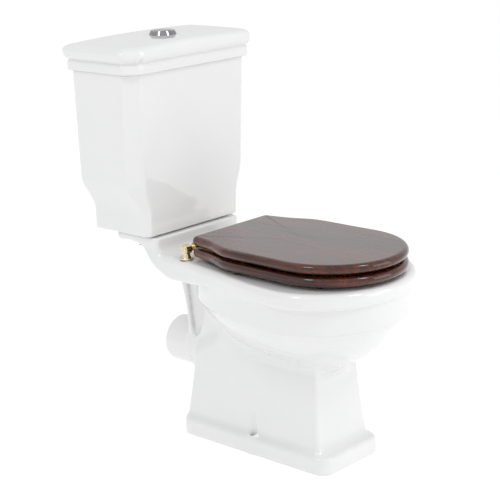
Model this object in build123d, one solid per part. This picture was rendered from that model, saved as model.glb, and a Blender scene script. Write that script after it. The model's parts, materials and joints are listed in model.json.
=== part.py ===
from build123d import *
from math import sqrt
import os

# Close coupled toilet, millimetres. +Z is up, the front of the bowl points to -Y, x = 0 is the
# plane of symmetry, and the origin is on the floor under the middle of the bounding box.

# ---- pan: heights -------------------------------------------------------------------------
RIM_Z = 406.0            # top of the rim and of the deck
ROLL_Z = 366.0           # bottom of the rolled rim
BAND_Z = 320.0           # bottom of the plain band under the roll
WAIST_Z = 208.0          # where the bowl meets the pedestal
DECK_Z = 356.0           # underside of the deck
SHELF_Z = 440.0          # top of the shelf that carries the cistern
SHELF_T = 18.0
PLINTH_Z = 28.0
PLINTH_TOP_Z = 55.0
LIP_Z = 392.0            # underside of the inward lip of the rim
CHANNEL_Z = 374.0        # bottom of the open flushing channel under the lip
FLUSHWAY_Z = 382.0
FOOT_HOLLOW_Z = 132.0    # the foot is open underneath up to here

# ---- pan: plan ----------------------------------------------------------------------------
FRONT_Y = -360.0
RIM_HALF = 186.0
RIM_MID_Y = -198.0       # widest line of the rim
DECK_HALF = 131.0
DECK_FRONT_Y = 110.0
RISER_Y = 142.0          # foot of the riser in front of the cistern
SHELF_FRONT_Y = 176.0
SHELF_BACK_Y = 292.0
BOWL_BACK_Y = 62.0
OPENING_HALF = 122.0     # hole in the rim
OPENING_FRONT_Y = -308.0
OPENING_BACK_Y = 28.0
PEDESTAL_FRONT_Y = -222.0
PEDESTAL_BACK_Y = 143.0
PEDESTAL_HALF = 79.0
PEDESTAL_TAPER = 14.0
PLINTH_FRONT_Y = -249.0
PLINTH_BACK_Y = 153.0
PLINTH_HALF = 92.5
PLINTH_CORNER = 27.0
FOOT_HOLLOW_HALF = 70.0
INLET_WELL_R = 40.0
WELL_BOSS_R = 46.0
DUCT_HALF = 40.0
DUCT_Z = 370.0           # underside of the flushway duct and of the well boss
FIX_HOLE_X = 82.0        # floor fixing holes
FIX_HOLE_Y = -48.0
FIX_HOLE_R = 4.5

# ---- outlet -------------------------------------------------------------------------------
OUTLET_R = 51.0
OUTLET_BORE_R = 42.0
OUTLET_Z = 178.0
OUTLET_END_Y = 237.0
COLLAR_R = 54.0          # root of the horn, up to the free spigot
COLLAR_END_Y = 167.0
TRAP_R = 34.0

# ---- planes that cut the one casting into simple nodes ------------------------------------
RIM_CUT_Z = 350.0
FOOT_CUT_Z = 204.0
SPIGOT_CUT_Y = 147.0
SPIGOT_CUT_Z = (95.0, 260.0)

# ---- cistern ------------------------------------------------------------------------------
TANK_Z = 443.0
TANK_TOP_Z = 790.0
TANK_BACK_Y = 345.0
TANK_WALL = 9.0
TANK_FLOOR = 10.0
SHOULDER_LOW_Z = 491.0
SHOULDER_HIGH_Z = 566.0
VALVE_Y = 246.0          # flush valve axis
BOLT_X = 84.0            # close coupling bolts
BOLT_R = 4.0
VALVE_TAIL_R = 29.0
WALL_HOLE_X = 120.0
WALL_HOLE_Z = 745.0
WALL_HOLE_R = 3.5

# ---- cistern lid and buttons --------------------------------------------------------------
LID_Z = 790.5
LID_STEP_Z = 811.0
LID_TOP_Z = 850.0
LID_HALF = 194.0
LID_FRONT_Y = 148.0
LID_BACK_Y = 360.0
LID_CROWN_R = 3800.0
BEZEL_R = 29.5
BUTTON_R = 19.5
SLEEVE_R = 22.5
BUTTON_Y = 250.0
BEZEL_Z = 850.0
BEZEL_T = 8.0
BUTTON_Z = 846.0         # underside of the buttons
BUTTON_TOP_Z = 858.8
SPLIT_X = 0.0            # the split runs front to back
SPLIT_GAP = 0.8
SLEEVE_END_Z = 812.0
SLEEVE_NUT_Z = 824.0
ROD_R = 3.0
ROD_X = 8.0
ROD_END_Z = 786.0
SPRING_R = 5.2
SPRING_WIRE_R = 0.45
SPRING_TURNS = 6
LID_LIP_Z = 781.0
LID_HOLLOW_Z = 834.0

# ---- seat ---------------------------------------------------------------------------------
HINGE_Y = 95.0
HINGE_Z = 427.0
HINGE_X = 113.0
BAR_R = 6.0
EYE_R = 10.5
RUN_FIT = 0.06           # radial clearance of a turning fit
GAP = 0.3                # clearance between parts of different bodies
RING_Z = 413.0
RING_T = 20.0
LID_SEAT_Z = 438.0
LID_SEAT_T = 20.0
SEAT_BACK_Y = 79.0
SEAT_BACK_HALF = 117.0
SEAT_SHOULDER_HALF = 151.0
SEAT_SHOULDER_Y = -62.0
SEAT_NOSE_HALF = 151.5
SEAT_NOSE_Y = -200.0
SEAT_FRONT_Y = -356.0
SEAT_ROUND = 9.4         # bullnose of the 20 mm timber
RING_STRAP_X = 58.0
LID_STRAP_X = 86.0
STRAP_T = 2.6
STRAP_W = 20.0
STRAP_FRONT_Y = 34.0
SCREW_R = 1.8

RING_HOLE_HALF = 102.0   # the oval hole in the ring
RING_HOLE_LONG = 138.0
RING_HOLE_Y = -158.0
STRAP_SCREW_YS = (44.0, 64.0)
RING_BUFFERS = [(134.0, -66.0), (112.0, -262.0)]
LID_BUFFERS = [(130.0, -85.0), (106.0, -268.0)]

# ---- flush valve --------------------------------------------------------------------------
VALVE_TAIL_END_Z = 402.0
VALVE_WASHER_T = 3.0
VALVE_SEAT_Z = TANK_Z + TANK_FLOOR + VALVE_WASHER_T + 5
VALVE_HEAD_Z = 700.0
LIFT_TUBE_R = 15.0
LIFT_TUBE_TOP_Z = 745.0
BOLT_END_Z = 396.0

# ---- fill valve ---------------------------------------------------------------------------
FILL_X = 105.0
FILL_Y = 313.0
FILL_R = 12.0
INLET_R = 10.48          # half inch pipe thread, outside
SHANK_R = 10.0           # of the same tail, from its nut upwards
INLET_NUT_T = 10.0
INLET_END_Z = 398.0
LEVER_ARM = 60.0
LEVER_Z = 716.0
FLOAT_Z = 575.0


def at(x, y, z):
    return Pos(x, y, z)


def tube_z(radius, z0, z1, x=0.0, y=0.0, bore=0.0):
    """An upright cylinder between two heights, with a through bore if one is given."""
    body = at(x, y, (z0 + z1) / 2) * Cylinder(radius, z1 - z0)
    if bore:
        body -= at(x, y, (z0 + z1) / 2) * Cylinder(bore, z1 - z0 + 2)
    return body


def tube_x(radius, x0, x1, y, z):
    return at((x0 + x1) / 2, y, z) * Rot(0, 90, 0) * Cylinder(radius, abs(x1 - x0))


def tube_y(radius, y0, y1):
    """A cylinder along the outlet axis."""
    return at(0, (y0 + y1) / 2, OUTLET_Z) * Rot(90, 0, 0) * Cylinder(radius, y1 - y0)


def block(x0, x1, y0, y1, z0, z1):
    middle = at((x0 + x1) / 2, (y0 + y1) / 2, (z0 + z1) / 2)
    return middle * Box(abs(x1 - x0), abs(y1 - y0), abs(z1 - z0))


def hexagon(across_flats, z0, z1, x=0.0, y=0.0, bore=0.0):
    """A hexagonal nut between two heights."""
    nut = extrude(at(x, y, z0) * RegularPolygon(across_flats / sqrt(3), 6), z1 - z0)
    if bore:
        nut -= tube_z(bore, z0 - 1, z1 + 1, x, y)
    return nut


def both_sides(shape):
    return shape + mirror(shape, Plane.YZ)


def solids_of(shape):
    return Compound(children=list(shape.solids()))


def closed_face(half):
    """A face from the right half of an outline that starts and ends on x = 0."""
    left = [mirror(edge, Plane.YZ) for edge in half]
    return make_face(half + left)


# ---- pan ----------------------------------------------------------------------------------
def rim_face(z, inset=0.0):
    """Plan of the rim and the deck behind it, back to the end of the shelf."""
    half_width = RIM_HALF - inset
    deck = DECK_HALF - inset
    nose_depth = RIM_MID_Y - FRONT_Y - inset
    nose = EllipticalCenterArc((0, RIM_MID_Y), half_width, nose_depth, start_angle=270, arc_size=90)
    side = Spline(
        [(half_width, RIM_MID_Y), (half_width - 16, -85), (deck + 15, 30), (deck, DECK_FRONT_Y)],
        tangents=[(0, 1), (-0.06, 1)],
    )
    flank = Line((deck, DECK_FRONT_Y), (deck - 4, SHELF_BACK_Y))
    back = Line((deck - 4, SHELF_BACK_Y), (0, SHELF_BACK_Y))
    return at(0, 0, z) * closed_face([nose, side, flank, back])


def oval_face(z, half_width, front, back):
    """An egg-shaped section of the bowl: one half ellipse forward, a longer one back."""
    middle = front + 0.42 * (back - front)
    nose = EllipticalCenterArc((0, middle), half_width, middle - front, start_angle=270, arc_size=90)
    tail = EllipticalCenterArc((0, middle), half_width, back - middle, start_angle=0, arc_size=90)
    return at(0, 0, z) * closed_face([nose, tail])


def deck():
    """Rolled rim, deck and cistern shelf in one slab with its underside swept up to the shelf."""
    slab = extrude(rim_face(DECK_Z), RIM_Z - DECK_Z)
    roll = slab.edges().filter_by_position(Axis.Z, DECK_Z, RIM_Z, inclusive=(False, True))
    roll = roll.filter_by(lambda edge: edge.center().Y < SHELF_FRONT_Y)
    slab = fillet(roll.filter_by_position(Axis.Z, RIM_Z, RIM_Z), 13)
    profile = make_face([
        Line((RISER_Y, RIM_Z - 10), (RISER_Y, RIM_Z)),
        TangentArc((RISER_Y, RIM_Z), (SHELF_FRONT_Y, SHELF_Z), tangent=(1, 0)),
        Line((SHELF_FRONT_Y, SHELF_Z), (SHELF_BACK_Y, SHELF_Z)),
        Line((SHELF_BACK_Y, SHELF_Z), (SHELF_BACK_Y, RIM_Z - 10)),
        Line((SHELF_BACK_Y, RIM_Z - 10), (RISER_Y, RIM_Z - 10)),
    ])
    riser = extrude(Plane.YZ * profile, DECK_HALF - 2, both=True)
    under = make_face([
        Line((SHELF_BACK_Y + 5, DECK_Z - 5), (SHELF_BACK_Y + 5, SHELF_Z - SHELF_T)),
        Line((SHELF_BACK_Y + 5, SHELF_Z - SHELF_T), (232, SHELF_Z - SHELF_T)),
        Spline([(232, SHELF_Z - SHELF_T), (205, 378), (150, DECK_Z)], tangents=[(-1, 0), (-1, 0)]),
        Line((150, DECK_Z), (150, DECK_Z - 5)),
        Line((150, DECK_Z - 5), (SHELF_BACK_Y + 5, DECK_Z - 5)),
    ])
    return slab + riser - extrude(Plane.YZ * under, 160, both=True)


def bowl():
    """Outside of the bowl: a plain band under the roll, then a round belly down to the pedestal."""
    band = loft([oval_face(ROLL_Z + 8, 180, -346, BOWL_BACK_Y), oval_face(BAND_Z, 177, -340, BOWL_BACK_Y)])
    belly = loft([
        oval_face(BAND_Z, 170, -334, 58),
        oval_face(289, 156, -322, 52),
        oval_face(262, 133, -302, 48),
        oval_face(238, 102, -278, 46),
        oval_face(WAIST_Z, 62, -236, 44),
    ])
    return band + belly


def pedestal():
    """Tapered box column that stands on the plinth and runs up behind the bowl."""
    def section(z, extra):
        half = PEDESTAL_HALF - extra
        middle = (PEDESTAL_FRONT_Y + PEDESTAL_BACK_Y) / 2
        depth = PEDESTAL_BACK_Y - PEDESTAL_FRONT_Y - 2 * extra
        return at(0, middle, z) * RectangleRounded(2 * half, depth, 9)
    column = loft([section(PLINTH_TOP_Z - 6, 0), section(WAIST_Z + 22, PEDESTAL_TAPER)])
    back = block(-58, 58, 34, 122, WAIST_Z, DECK_Z + 4)
    return column + back


def plinth():
    middle = (PLINTH_FRONT_Y + PLINTH_BACK_Y) / 2
    depth = PLINTH_BACK_Y - PLINTH_FRONT_Y
    foot = at(0, middle, 0) * RectangleRounded(2 * PLINTH_HALF, depth, PLINTH_CORNER)
    top = at(0, middle, PLINTH_TOP_Z) * RectangleRounded(2 * PEDESTAL_HALF, depth - 24, 12)
    edge = at(0, middle, PLINTH_Z) * RectangleRounded(2 * PLINTH_HALF, depth, PLINTH_CORNER)
    return extrude(foot, PLINTH_Z) + loft([edge, top])


def foot_face(z, half, front, back):
    return at(0, (front + back) / 2, z) * RectangleRounded(2 * half, back - front, 12)


def pan_hollows():
    """Everything that is open in the pan: bowl, trap way, flushway, fixing holes."""
    mouth = oval_face(LIP_Z - 1, OPENING_HALF, OPENING_FRONT_Y, OPENING_BACK_Y)
    channel = oval_face(CHANNEL_Z, OPENING_HALF + 34, OPENING_FRONT_Y - 28, OPENING_BACK_Y + 24)
    space = extrude(mouth, RIM_Z - LIP_Z + 2) + extrude(channel, LIP_Z - CHANNEL_Z)
    space += loft([
        oval_face(CHANNEL_Z, OPENING_HALF + 28, OPENING_FRONT_Y - 22, OPENING_BACK_Y + 18),
        oval_face(330, 142, -312, 34),
        oval_face(270, 112, -270, 20),
        oval_face(225, 74, -226, 14),
        oval_face(185, 44, -150, 8),
        oval_face(150, 38, -110, 0),
    ])
    up_leg = Line((0, -40, 172), (0, 34, 226))
    down_leg = Line((0, 34, 226), (0, 100, OUTLET_Z + 4))
    for leg in (up_leg, down_leg):
        plane = Plane(origin=leg @ 0, z_dir=leg % 0)
        space += extrude(plane * Circle(TRAP_R), leg.length)
    space += at(0, 34, 226) * Sphere(TRAP_R)
    space += tube_y(OUTLET_BORE_R, 95, OUTLET_END_Y + 1)
    space += tube_z(INLET_WELL_R, FLUSHWAY_Z, SHELF_Z + 1, 0, VALVE_Y)
    space += block(-34, 34, OPENING_BACK_Y, VALVE_Y, FLUSHWAY_Z, LIP_Z)
    space += loft([
        foot_face(-1, FOOT_HOLLOW_HALF, PLINTH_FRONT_Y + 14, PLINTH_BACK_Y - 14),
        foot_face(FOOT_HOLLOW_Z, FOOT_HOLLOW_HALF - 10, PEDESTAL_FRONT_Y + 22, PEDESTAL_BACK_Y - 22),
    ])
    for side in (-1, 1):
        space += tube_z(BOLT_R + 1.5, SHELF_Z - 40, SHELF_Z + 1, side * BOLT_X, VALVE_Y)
        space += tube_z(5.0, RIM_Z - 30, RIM_Z + 1, side * HINGE_X, HINGE_Y)
        space += tube_z(11.5, DECK_Z - 10, RIM_Z - 16, side * HINGE_X, HINGE_Y)
        space += tube_z(FIX_HOLE_R, -1, PLINTH_TOP_Z + 20, side * FIX_HOLE_X, FIX_HOLE_Y)
    return space


def pan():
    horn = tube_y(OUTLET_R, COLLAR_END_Y - 5, OUTLET_END_Y) + tube_y(COLLAR_R, 70, COLLAR_END_Y)
    duct = block(-DUCT_HALF, DUCT_HALF, 60, VALVE_Y, DUCT_Z, RIM_Z - 8)
    duct += tube_z(WELL_BOSS_R, DUCT_Z, SHELF_Z - 10, 0, VALVE_Y)
    throat = block(-48, 48, 60, 120, OUTLET_Z + 20, DECK_Z + 6)
    bosses = both_sides(tube_z(13, 2, 40, FIX_HOLE_X - 3, FIX_HOLE_Y))
    body = deck() + bowl() + pedestal() + plinth() + horn + duct + throat + bosses
    return body - pan_hollows()


def pan_pieces():
    """The one casting, cut into rim, bowl, foot and outlet so that each node has a simple form."""
    whole = pan()
    side = RIM_HALF + 5
    front = FRONT_Y - 5
    back = OUTLET_END_Y + 60
    spigot = block(-side, side, SPIGOT_CUT_Y, back, *SPIGOT_CUT_Z)
    return {
        "pan_rim": whole & block(-side, side, front, back, RIM_CUT_Z, SHELF_Z + 5),
        "pan_bowl": (whole & block(-side, side, front, back, FOOT_CUT_Z, RIM_CUT_Z)) - spigot,
        "pan_foot": (whole & block(-side, side, front, back, -5, FOOT_CUT_Z)) - spigot,
        "pan_outlet": whole & spigot,
    }


# ---- cistern ------------------------------------------------------------------------------
def smooth(t):
    return t * t * (3 - 2 * t)


def tank_shape(z):
    """Half width, front and corner cant of the cistern at a height: an ogee between two straights."""
    rise = min(1.0, max(0.0, (z - SHOULDER_LOW_Z) / (SHOULDER_HIGH_Z - SHOULDER_LOW_Z)))
    step = smooth(rise)
    half = 140.5 + 34.5 * step + 5.0 * max(0.0, (z - SHOULDER_HIGH_Z) / (TANK_TOP_Z - SHOULDER_HIGH_Z))
    front = 178.0 - 14.0 * (z - TANK_Z) / (TANK_TOP_Z - TANK_Z)
    cant = 10.0 + 18.0 * step
    return half, front, cant


def canted_face(z, half, front, back, cant):
    """A rectangle whose two front corners are cut off at 45 degrees."""
    corners = [
        (0, front), (half - cant, front), (half, front + cant), (half, back), (0, back),
    ]
    return at(0, 0, z) * closed_face([Line(a, b) for a, b in zip(corners, corners[1:])])


def tank_face(z, inset=0.0):
    half, front, cant = tank_shape(z)
    return canted_face(z, half - inset, front + inset, TANK_BACK_Y - inset, cant)


def cistern_tank():
    low = [TANK_Z, SHOULDER_LOW_Z]
    ogee = [SHOULDER_LOW_Z + (SHOULDER_HIGH_Z - SHOULDER_LOW_Z) * i / 6 for i in range(7)]
    high = [SHOULDER_HIGH_Z, TANK_TOP_Z]
    outside = Part()
    inside = Part()
    for heights in (low, ogee, high):
        outside += loft([tank_face(z) for z in heights], ruled=True)
        lifted = [z + TANK_FLOOR if z == TANK_Z else z for z in heights]
        lifted = [z + 1 if z == TANK_TOP_Z else z for z in lifted]
        inside += loft([tank_face(z, TANK_WALL) for z in lifted], ruled=True)
    tank = outside - inside
    tank -= tube_z(VALVE_TAIL_R + 1.5, TANK_Z - 1, TANK_Z + TANK_FLOOR + 1, 0, VALVE_Y)
    tank -= tube_z(INLET_R + 1.0, TANK_Z - 1, TANK_Z + TANK_FLOOR + 1, FILL_X, FILL_Y)
    for side in (-1, 1):
        tank -= tube_z(BOLT_R + 1.5, TANK_Z - 1, TANK_Z + TANK_FLOOR + 1, side * BOLT_X, VALVE_Y)
        wall_hole = at(side * WALL_HOLE_X, TANK_BACK_Y - TANK_WALL / 2, WALL_HOLE_Z)
        tank -= wall_hole * Rot(90, 0, 0) * Cylinder(WALL_HOLE_R, TANK_WALL + 4)
    return tank


def cistern_lid():
    """Heavy loose lid: plain lower band, a step, and a crowned top with a rolled edge."""
    band = loft([
        canted_face(LID_Z, LID_HALF - 8, LID_FRONT_Y + 7, LID_BACK_Y - 7, 30),
        canted_face(LID_STEP_Z, LID_HALF - 6, LID_FRONT_Y + 5, LID_BACK_Y - 5, 30),
    ], ruled=True)
    top = extrude(canted_face(LID_STEP_Z, LID_HALF, LID_FRONT_Y, LID_BACK_Y, 31), LID_TOP_Z - LID_STEP_Z)
    top = fillet(top.edges().filter_by(Axis.Z), 9)
    top = fillet(top.edges().filter_by_position(Axis.Z, LID_TOP_Z, LID_TOP_Z), 13)
    crown = at(0, VALVE_Y + 8, LID_TOP_Z - LID_CROWN_R) * Sphere(LID_CROWN_R)
    lip = extrude(tank_lip_face(TANK_WALL + 1.5), LID_Z - LID_LIP_Z)
    hollow = extrude(canted_face(LID_LIP_Z - 1, 158, LID_FRONT_Y + 37, LID_BACK_Y - 36, 24), LID_HOLLOW_Z - LID_LIP_Z)
    lid = band + (top & crown) + lip - hollow
    return lid - tube_z(SLEEVE_R + 1.5, LID_Z, LID_TOP_Z + 1, 0, BUTTON_Y)


def tank_lip_face(inset):
    half, front, cant = tank_shape(TANK_TOP_Z)
    return canted_face(LID_LIP_Z, half - inset, front + inset, TANK_BACK_Y - inset, cant)


# ---- buttons ------------------------------------------------------------------------------
def button_bezel():
    """Raised ring on the lid with the threaded sleeve that holds the buttons."""
    ring = at(0, BUTTON_Y, BEZEL_Z + BEZEL_T / 2) * Cone(BEZEL_R, BEZEL_R - 4, BEZEL_T)
    sleeve = tube_z(SLEEVE_R, SLEEVE_END_Z, BEZEL_Z + 1, 0, BUTTON_Y)
    well = tube_z(BUTTON_R + GAP, SLEEVE_END_Z + 3, BEZEL_Z + BEZEL_T + 1, 0, BUTTON_Y)
    guides = both_sides(tube_z(ROD_R + GAP, SLEEVE_END_Z - 1, SLEEVE_END_Z + 4, ROD_X, BUTTON_Y))
    return ring + sleeve - well - guides


def half_button(share):
    """One half of the round split button; share is its side of the split, 1 or -1."""
    disc = tube_z(BUTTON_R, BUTTON_Z, BUTTON_TOP_Z, 0, BUTTON_Y)
    disc = fillet(disc.edges().group_by(Axis.Z)[-1], 1.2)
    edge = SPLIT_X + share * SPLIT_GAP / 2
    reach = BUTTON_R + 1
    keep = block(edge, edge + share * 2 * reach, BUTTON_Y - reach, BUTTON_Y + reach, BUTTON_Z - 1, BUTTON_TOP_Z + 1)
    return disc & keep


def button_rod(share):
    return tube_z(ROD_R, ROD_END_Z, BUTTON_Z, share * ROD_X, BUTTON_Y)


def button_spring(share):
    """Compression spring round a rod, between the floor of the sleeve and the button."""
    low = SLEEVE_END_Z + 3 + SPRING_WIRE_R
    height = BUTTON_Z - low - SPRING_WIRE_R
    coil = Helix(height / SPRING_TURNS, height, SPRING_R)
    wire = Plane(origin=coil @ 0, z_dir=coil % 0) * Circle(SPRING_WIRE_R)
    return at(share * ROD_X, BUTTON_Y, low) * sweep(wire, path=coil)


def sleeve_nut():
    return hexagon(58, SLEEVE_NUT_Z, SLEEVE_NUT_Z + 8, 0, BUTTON_Y, SLEEVE_R)


# ---- flush valve --------------------------------------------------------------------------
def flush_valve_body():
    """Seat flange, threaded tail and an open tower round the lifting tube."""
    floor = TANK_Z + TANK_FLOOR + VALVE_WASHER_T
    body = tube_z(VALVE_TAIL_R, VALVE_TAIL_END_Z, floor, 0, VALVE_Y, VALVE_TAIL_R - 4)
    body += tube_z(38, floor, floor + 5, 0, VALVE_Y, VALVE_TAIL_R - 4)
    tower = tube_z(34, floor + 5, VALVE_HEAD_Z, 0, VALVE_Y, 30.5)
    windows = block(-40, 40, VALVE_Y - 15, VALVE_Y + 15, floor + 12, VALVE_HEAD_Z - 12)
    windows += block(-15, 15, VALVE_Y - 40, VALVE_Y + 40, floor + 12, VALVE_HEAD_Z - 12)
    head = tube_z(34, VALVE_HEAD_Z, VALVE_HEAD_Z + 8, 0, VALVE_Y, LIFT_TUBE_R + 1.5)
    return body + (tower - windows) + head


def valve_back_nut():
    return hexagon(66, TANK_Z - 16, TANK_Z - 3, 0, VALVE_Y, VALVE_TAIL_R)


def valve_washer():
    """Rubber washer between the valve flange and the inside of the cistern floor."""
    floor = TANK_Z + TANK_FLOOR
    return tube_z(37, floor, floor + VALVE_WASHER_T, 0, VALVE_Y, VALVE_TAIL_R + 0.2)


def lift_tube():
    """Overflow pipe that carries the seal; it rises to let the water out."""
    seat_z = VALVE_SEAT_Z + GAP + 3
    return tube_z(LIFT_TUBE_R, seat_z, LIFT_TUBE_TOP_Z, 0, VALVE_Y, LIFT_TUBE_R - 2) + tube_z(
        27, seat_z, seat_z + 4, 0, VALVE_Y, LIFT_TUBE_R - 2
    )


def lift_seal():
    low = VALVE_SEAT_Z + GAP
    return tube_z(29, low, low + 3, 0, VALVE_Y, LIFT_TUBE_R - 2)


# ---- fill valve ---------------------------------------------------------------------------
def fill_valve_body():
    """Hollow column with a threaded tail below the cistern and a lever bracket at its head."""
    floor = TANK_Z + TANK_FLOOR
    body = tube_z(INLET_R, INLET_END_Z, TANK_Z - INLET_NUT_T, FILL_X, FILL_Y)
    body += tube_z(SHANK_R, TANK_Z - INLET_NUT_T, floor + 4, FILL_X, FILL_Y)
    body += tube_z(17, floor + 3, floor + 9, FILL_X, FILL_Y)
    body += tube_z(FILL_R, floor + 8, LEVER_Z - 18, FILL_X, FILL_Y)
    body += tube_z(FILL_R + 5, LEVER_Z - 22, LEVER_Z - 8, FILL_X, FILL_Y)
    for side in (-1, 1):
        edge = FILL_X + side * 5.0
        body += block(edge, edge + side * 4, FILL_Y - 6, FILL_Y + 6, LEVER_Z - 9, LEVER_Z + 6)
    body -= tube_x(2.0 + RUN_FIT, FILL_X - 12, FILL_X + 12, FILL_Y, LEVER_Z)
    return body - tube_z(6.5, INLET_END_Z - 1, LEVER_Z - 40, FILL_X, FILL_Y)


def fill_valve_washer():
    floor = TANK_Z + TANK_FLOOR
    return tube_z(16.5, floor, floor + 3, FILL_X, FILL_Y, SHANK_R + 0.2)


def fill_valve_nut():
    return hexagon(28, TANK_Z - INLET_NUT_T, TANK_Z, FILL_X, FILL_Y, SHANK_R)


def float_lever():
    """Arm that turns on its pin in the valve head; a slot at its end takes the float rod."""
    arm = block(FILL_X - 4, FILL_X + 4, FILL_Y - LEVER_ARM - 20, FILL_Y + 5, LEVER_Z - 4, LEVER_Z + 4)
    arm += tube_x(2.0, FILL_X - 9, FILL_X + 9, FILL_Y, LEVER_Z)
    slot_y = FILL_Y - LEVER_ARM
    return arm - block(FILL_X - 2.6, FILL_X + 2.6, slot_y - 16, slot_y + 8, LEVER_Z - 9, LEVER_Z + 9)


def float_cup():
    """Upturned cup with a collar that slides on the column, and the rod up to the lever."""
    low = FLOAT_Z
    cup = block(FILL_X - 22, FILL_X + 22, FILL_Y - 84, FILL_Y - 20, low, low + 62)
    cup -= block(FILL_X - 20, FILL_X + 20, FILL_Y - 82, FILL_Y - 22, low - 1, low + 60)
    collar = tube_z(FILL_R + 4, low + 40, low + 60, FILL_X, FILL_Y)
    collar += block(FILL_X - 6, FILL_X + 6, FILL_Y - 21, FILL_Y - 8, low + 40, low + 60)
    collar -= tube_z(FILL_R + GAP, low + 30, low + 70, FILL_X, FILL_Y)
    rod = tube_z(1.8, low + 61, LEVER_Z + 14, FILL_X, FILL_Y - LEVER_ARM)
    return cup + collar + rod


# ---- close coupling -----------------------------------------------------------------------
def coupling_plate():
    """Steel plate between cistern and shelf, with holes for the valve tail and the bolts."""
    plate = extrude(at(0, VALVE_Y, SHELF_Z) * RectangleRounded(2 * BOLT_X + 40, 84, 14), TANK_Z - SHELF_Z)
    plate -= tube_z(VALVE_TAIL_R + 0.5, SHELF_Z - 1, TANK_Z + 1, 0, VALVE_Y)
    return plate - both_sides(tube_z(BOLT_R + 0.3, SHELF_Z - 1, TANK_Z + 1, BOLT_X, VALVE_Y))


def doughnut_gasket():
    """Foam ring that seals the valve tail in the well of the shelf."""
    return tube_z(INLET_WELL_R - 1, SHELF_Z - 34, TANK_Z - 17, 0, VALVE_Y, VALVE_TAIL_R + 1)


def cistern_bolts():
    """Two brass bolts, each with a domed head inside the cistern."""
    head_z = TANK_Z + TANK_FLOOR + 4.5
    bolt = tube_z(BOLT_R, BOLT_END_Z, head_z, BOLT_X, VALVE_Y)
    bolt += at(BOLT_X, VALVE_Y, head_z) * (Sphere(9) & block(-10, 10, -10, 10, 0, 5))
    return both_sides(bolt)


def bolt_seals():
    floor = TANK_Z + TANK_FLOOR
    return both_sides(tube_z(11, floor, floor + 3, BOLT_X, VALVE_Y, BOLT_R + 0.1))


def bolt_washers():
    floor = TANK_Z + TANK_FLOOR
    low = tube_z(10, SHELF_Z - SHELF_T - 2, SHELF_Z - SHELF_T, BOLT_X, VALVE_Y, BOLT_R + 0.2)
    return both_sides(tube_z(10, floor + 3, floor + 4.5, BOLT_X, VALVE_Y, BOLT_R + 0.1) + low)


def wing_nut(x, y, top, bore, scale=1.0, turn=0.0):
    """A nut with two upswept wings, hanging below a height."""
    hub = at(x, y, top - 4.5 * scale) * Cone(4.6 * scale, 6.6 * scale, 9 * scale)
    wing = make_face(Polyline(
        (4 * scale, -1 * scale), (12 * scale, -3 * scale), (15 * scale, -12 * scale),
        (11 * scale, -13 * scale), (4 * scale, -9 * scale), (4 * scale, -1 * scale),
    ))
    blade = extrude(Plane.XZ * wing, 1.3 * scale, both=True)
    pair = blade + mirror(blade, Plane.YZ)
    nut = hub + at(x, y, top) * Rot(0, 0, turn) * pair
    return nut - tube_z(bore, top - 20 * scale, top + 1, x, y)


def cistern_wing_nuts():
    top = SHELF_Z - SHELF_T - 2
    return wing_nut(BOLT_X, VALVE_Y, top, BOLT_R, 1.0, 28) + wing_nut(-BOLT_X, VALVE_Y, top, BOLT_R, 1.0, -28)


# ---- seat ---------------------------------------------------------------------------------
def seat_face(z, inset=0.0):
    """Plan of the seat: narrow at the hinge, a shouldered S curve, then a broad round nose."""
    back = SEAT_BACK_Y - inset
    half = SEAT_BACK_HALF - inset
    shoulder = SEAT_SHOULDER_HALF - inset
    nose_half = SEAT_NOSE_HALF - inset
    corner = 14.0
    nose = EllipticalCenterArc(
        (0, SEAT_NOSE_Y), nose_half, SEAT_NOSE_Y - SEAT_FRONT_Y - inset, start_angle=270, arc_size=90
    )
    side = Spline(
        [
            (nose_half, SEAT_NOSE_Y), (shoulder - 0.5, -125), (shoulder, SEAT_SHOULDER_Y),
            (half + 20.5, -10), (half + 7, 32), (half, back - corner),
        ],
        tangents=[(0, 1), (-0.15, 1)],
    )
    turn = RadiusArc((half, back - corner), (half - corner, back), -corner)
    edge = Line((half - corner, back), (0, back))
    return at(0, 0, z) * closed_face([nose, side, turn, edge])


def seat_board(z, thickness, strap_x):
    """Solid timber board with a bullnose all round and pilot holes for the strap screws."""
    board = extrude(seat_face(z), thickness)
    rims = board.edges().group_by(Axis.Z)
    board = fillet(rims[0] + rims[-1], SEAT_ROUND)
    for y in STRAP_SCREW_YS:
        board -= both_sides(tube_z(SCREW_R, z - 1, z + 9.5, strap_x, y))
    return board


def seat_ring():
    board = seat_board(RING_Z, RING_T, RING_STRAP_X)
    hole = at(0, RING_HOLE_Y, RING_Z - 1) * Ellipse(RING_HOLE_HALF, RING_HOLE_LONG)
    cutter = extrude(hole, RING_T + 2)
    ring = board - cutter
    inner = ring.edges().filter_by(lambda edge: edge.is_closed and edge.length > 300)
    return fillet(inner, 7)


def seat_lid():
    return seat_board(LID_SEAT_Z, LID_SEAT_T, LID_STRAP_X)


def strap(x, under_z, direction):
    """Brass hinge strap: an eye on the bar and a plate screwed under the board."""
    low = under_z - STRAP_T
    eye = tube_x(EYE_R, x - STRAP_W / 2, x + STRAP_W / 2, HINGE_Y, HINGE_Z)
    plate = block(x - STRAP_W / 2, x + STRAP_W / 2, STRAP_FRONT_Y, HINGE_Y - 8, low, under_z)
    if direction < 0:
        link = block(x - STRAP_W / 2, x + STRAP_W / 2, SEAT_BACK_Y + 1, HINGE_Y - 4, low, HINGE_Z)
    else:
        link = block(x - STRAP_W / 2, x + STRAP_W / 2, SEAT_BACK_Y + 1, HINGE_Y, HINGE_Z, under_z)
    body = eye + plate + link
    for y in STRAP_SCREW_YS:
        body -= tube_z(2.0, low - 1, under_z + 1, x, y)
        body -= at(x, y, low + 1.1) * Cone(4.4, 2.0, 2.2)
    return body - tube_x(BAR_R + RUN_FIT, x - STRAP_W, x + STRAP_W, HINGE_Y, HINGE_Z)


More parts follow.
